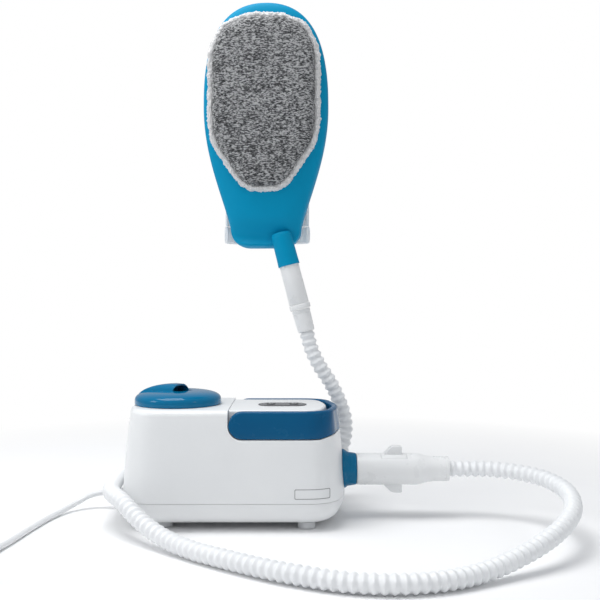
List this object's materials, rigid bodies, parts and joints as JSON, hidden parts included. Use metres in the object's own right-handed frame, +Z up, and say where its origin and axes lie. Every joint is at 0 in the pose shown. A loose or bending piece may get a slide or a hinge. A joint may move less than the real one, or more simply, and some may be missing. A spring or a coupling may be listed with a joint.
{
  "type": "handheld steamer",
  "caption": "Steam glove set: table-top base with tank, carry handle and controls, ribbed hose with squeeze latches, and a padded steam glove on a swivel.",
  "frame": {"origin": "on the floor, under the middle of the box round the whole set, with the hose and the mains lead left aside", "axes": "+Z up, +X from the tank towards the hose connector along the base, +Y away from the front of the base, towards the glove"},
  "size_m": [0.6658, 0.3954, 0.59],
  "materials": {
    "white_plastic": "smooth moulded, satin gloss",
    "tie_fabric": "woven tape",
    "blue_plastic": "smooth moulded, satin gloss",
    "cap_plastic": "polished",
    "glove_plastic": "soft matt",
    "dark_plastic": "fine matt",
    "black_rubber": "matt",
    "steel": "plain",
    "cast_aluminium": "as cast",
    "brass": "drawn",
    "tank_plastic": "translucent",
    "board": "circuit board",
    "lamp_lens": "clear",
    "pad_cloth": "looped microfibre",
    "white_fleece": "soft pile"
  },
  "bodies": {
    "base": {"housing_shell": "white_plastic", "base_tray": "white_plastic", "control_deck": "white_plastic", "hose_connector": "white_plastic", "connector_nozzle": "white_plastic", "hose_cuff": "white_plastic", "steam_hose": "white_plastic", "cord_strain_relief": "white_plastic", "mains_cord": "white_plastic", "cord_coil": "white_plastic", "cord_tail": "white_plastic", "mains_plug": "white_plastic", "thermal_fuse": "white_plastic", "cord_tie": "tie_fabric", "outlet_collar": "blue_plastic", "control_panel": "dark_plastic", "water_pump": "dark_plastic", "outlet_socket": "dark_plastic", "connector_seal": "black_rubber", "foot_front_right": "black_rubber", "foot_front_left": "black_rubber", "foot_rear_right": "black_rubber", "foot_rear_left": "black_rubber", "tray_screw_1": "steel", "tray_screw_2": "steel", "tray_screw_3": "steel", "tray_screw_4": "steel", "handle_pivot_front": "steel", "handle_pivot_rear": "steel", "heating_element": "steel", "boiler_bracket": "steel", "thermostat": "steel", "boiler_body": "cast_aluminium", "steam_outlet_pipe": "brass", "water_tank": "tank_plastic", "pump_inlet_tube": "tank_plastic", "pump_outlet_tube": "tank_plastic", "control_board": "board", "steam_lamp": "lamp_lens", "power_lamp": "lamp_lens"},
    "handle": {"carry_handle": "blue_plastic"},
    "cap_carrier": {"cap_gasket": "black_rubber"},
    "cap": {"tank_cap": "cap_plastic", "cap_plug": "white_plastic"},
    "power_button": {"power_button": "dark_plastic"},
    "steam_button": {"steam_button": "dark_plastic"},
    "latch_upper": {"latch_upper": "white_plastic"},
    "latch_lower": {"latch_lower": "white_plastic"},
    "glove": {"swivel_ring": "white_plastic", "handset_tube": "white_plastic", "glove_shell": "glove_plastic", "steam_plate": "glove_plastic", "steam_chamber": "dark_plastic", "glove_steam_pipe": "tank_plastic", "glove_back_plate": "white_plastic", "hand_pocket": "white_fleece", "wrist_cuff": "white_fleece"},
    "pad": {"steam_pad": "pad_cloth", "pad_binding": "white_fleece"}
  },
  "joints": [
    {"name": "handle_lift", "type": "hinge", "parent": "base", "child": "handle", "pos_m": [-0.0305, -0.02956, 0.1098], "axis": [0, -1, 0], "range_deg": [0, 90]},
    {"name": "cap_lift", "type": "slide", "parent": "base", "child": "cap_carrier", "axis": [0, 0, 1], "range_m": [0, 0.0166]},
    {"name": "cap_turn", "type": "hinge", "parent": "cap_carrier", "child": "cap", "pos_m": [-0.105, -0.02956, 0.128], "axis": [0, 0, 1], "range_deg": [0, 990]},
    {"name": "power_button_press", "type": "slide", "parent": "base", "child": "power_button", "axis": [0, 0, -1], "range_m": [0, 0.001], "stiffness_N_per_m": 800, "springref_m": -0.0005},
    {"name": "steam_button_press", "type": "slide", "parent": "base", "child": "steam_button", "axis": [0, 0, -1], "range_m": [0, 0.001], "stiffness_N_per_m": 800, "springref_m": -0.0005},
    {"name": "latch_upper_squeeze", "type": "hinge", "parent": "base", "child": "latch_upper", "pos_m": [0.1535, -0.02956, 0.06475], "axis": [0, -1, 0], "range_deg": [0, 2.5], "stiffness_Nm_per_rad": 6, "springref_deg": -1.15},
    {"name": "latch_lower_squeeze", "type": "hinge", "parent": "base", "child": "latch_lower", "pos_m": [0.1535, -0.02956, 0.04125], "axis": [0, 1, 0], "range_deg": [0, 2.5], "stiffness_Nm_per_rad": 6, "springref_deg": -1.15},
    {"name": "glove_swivel", "type": "hinge", "parent": "base", "child": "glove", "pos_m": [0.02946, 0.03855, 0.23099], "axis": [-0.2548, 0.0178, 0.9668], "continuous": true},
    {"name": "pad_pull_off", "type": "slide", "parent": "glove", "child": "pad", "axis": [-0.0698, -0.9976, 0], "range_m": [0, 0.08]}
  ],
  "couplings": [
    {"joint": "cap_lift", "follows": "cap_turn", "m_per_rad": 0.00095493}
  ]
}
